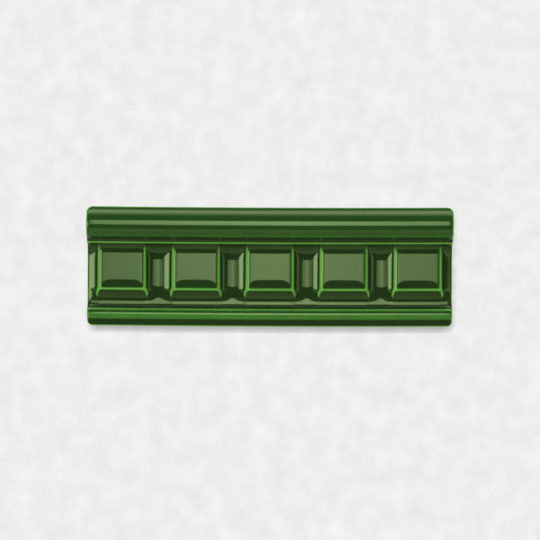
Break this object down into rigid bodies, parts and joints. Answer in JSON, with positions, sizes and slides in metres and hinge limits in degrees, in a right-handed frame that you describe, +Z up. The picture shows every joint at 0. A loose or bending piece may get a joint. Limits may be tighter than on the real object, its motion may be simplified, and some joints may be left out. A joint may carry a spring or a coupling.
{
  "type": "dentil moulding tile",
  "caption": "Glazed ceramic dentil moulding tile with a crown roll, a row of dentils and a foot bead, bedded flat on a wall.",
  "frame": {"origin": "centre of the flat back face, where it is bedded on the wall", "axes": "+X along the moulding to the viewer's right, +Y out of the back face into the wall, +Z up the wall"},
  "size_m": [0.152, 0.0195, 0.0496],
  "materials": {
    "green_glaze": "glossy translucent green glaze, dark where it pools and bright where it breaks over an edge"
  },
  "bodies": {
    "root": {"dentil_moulding": "green_glaze"}
  },
  "joints": []
}
